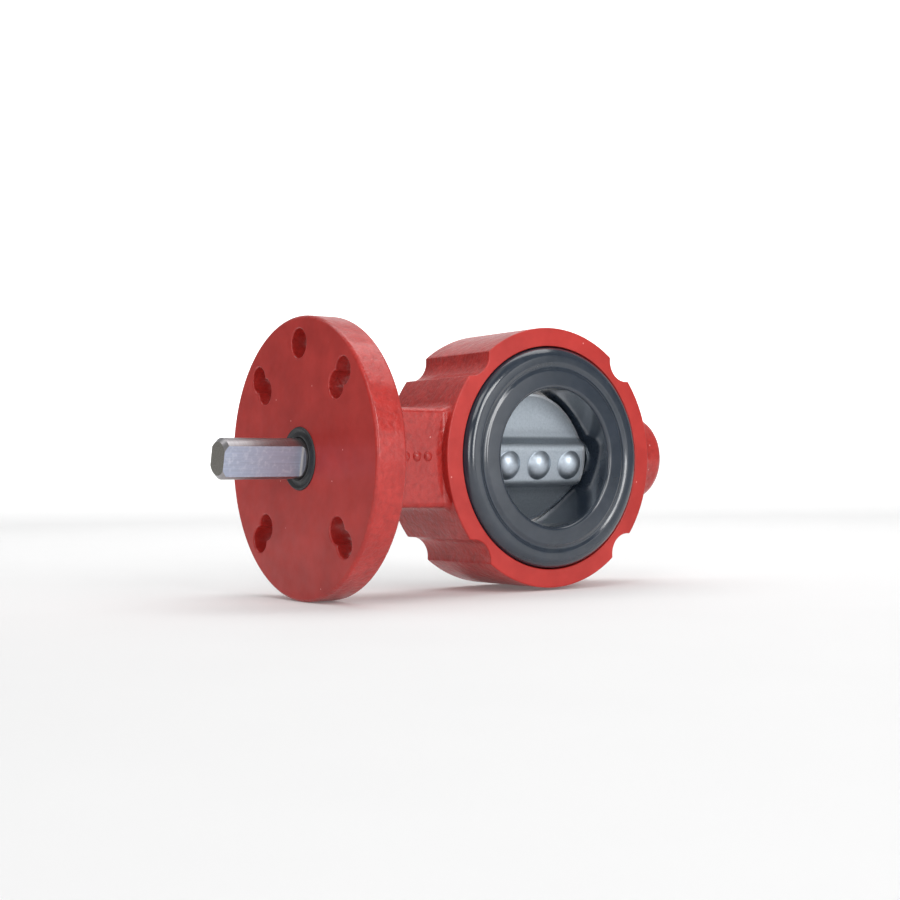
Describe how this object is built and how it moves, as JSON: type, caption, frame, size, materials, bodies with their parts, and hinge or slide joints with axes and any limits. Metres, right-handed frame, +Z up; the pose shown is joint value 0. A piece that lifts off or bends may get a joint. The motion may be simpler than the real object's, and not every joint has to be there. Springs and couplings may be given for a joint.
{
  "type": "wafer butterfly valve",
  "caption": "Resilient-seated wafer valve body with a turning disc in a rubber-lined bore, a bare double-flatted stem and a round actuator flange.",
  "frame": {"origin": "where the stem's axis crosses the bore's axis, half way between the two pipe faces", "axes": "+X along the stem from the actuator flange to the closed boss, +Y along the bore towards the downstream face, +Z up with the stem level, as the valve lies"},
  "size_m": [0.192, 0.1006, 0.1006],
  "materials": {
    "red_paint": "semi-gloss red enamel over cast iron, rough-cast where it isn't machined",
    "seat_rubber": "satin moulded rubber",
    "seal_rubber": "black rubber",
    "phenolic": "machined phenolic laminate",
    "acetal": "natural acetal",
    "brass": "turned brass",
    "disc_steel": "cast and satin-finished stainless steel with a polished edge",
    "pin_steel": "polished stainless steel",
    "stem_steel": "ground stainless steel",
    "spring_steel": "spring steel"
  },
  "bodies": {
    "valve_body": {"body": "red_paint", "seat": "seat_rubber", "seat_backing_ring": "phenolic", "stem_weather_seal": "seal_rubber", "retaining_ring": "spring_steel", "outer_thrust_washer": "brass", "inner_thrust_washer": "brass", "upper_bushing": "acetal", "stem_u_cup": "seal_rubber", "middle_bushing": "acetal", "upper_stem_oring": "seal_rubber", "lower_stem_oring": "seal_rubber", "lower_bushing": "acetal", "bottom_thrust_pad": "acetal"},
    "rotor": {"stem": "stem_steel", "stem_clip_half_1": "brass", "stem_clip_half_2": "brass", "disc": "disc_steel", "disc_pin_1": "pin_steel", "disc_pin_2": "pin_steel", "disc_pin_3": "pin_steel", "disc_pin_oring_1": "seal_rubber", "disc_pin_oring_2": "seal_rubber", "disc_pin_oring_3": "seal_rubber"}
  },
  "joints": [
    {"name": "disc_turn", "type": "hinge", "parent": "valve_body", "child": "rotor", "pos_m": [0, 0, 0], "axis": [1, 0, 0], "range_deg": [-13, 77]}
  ]
}
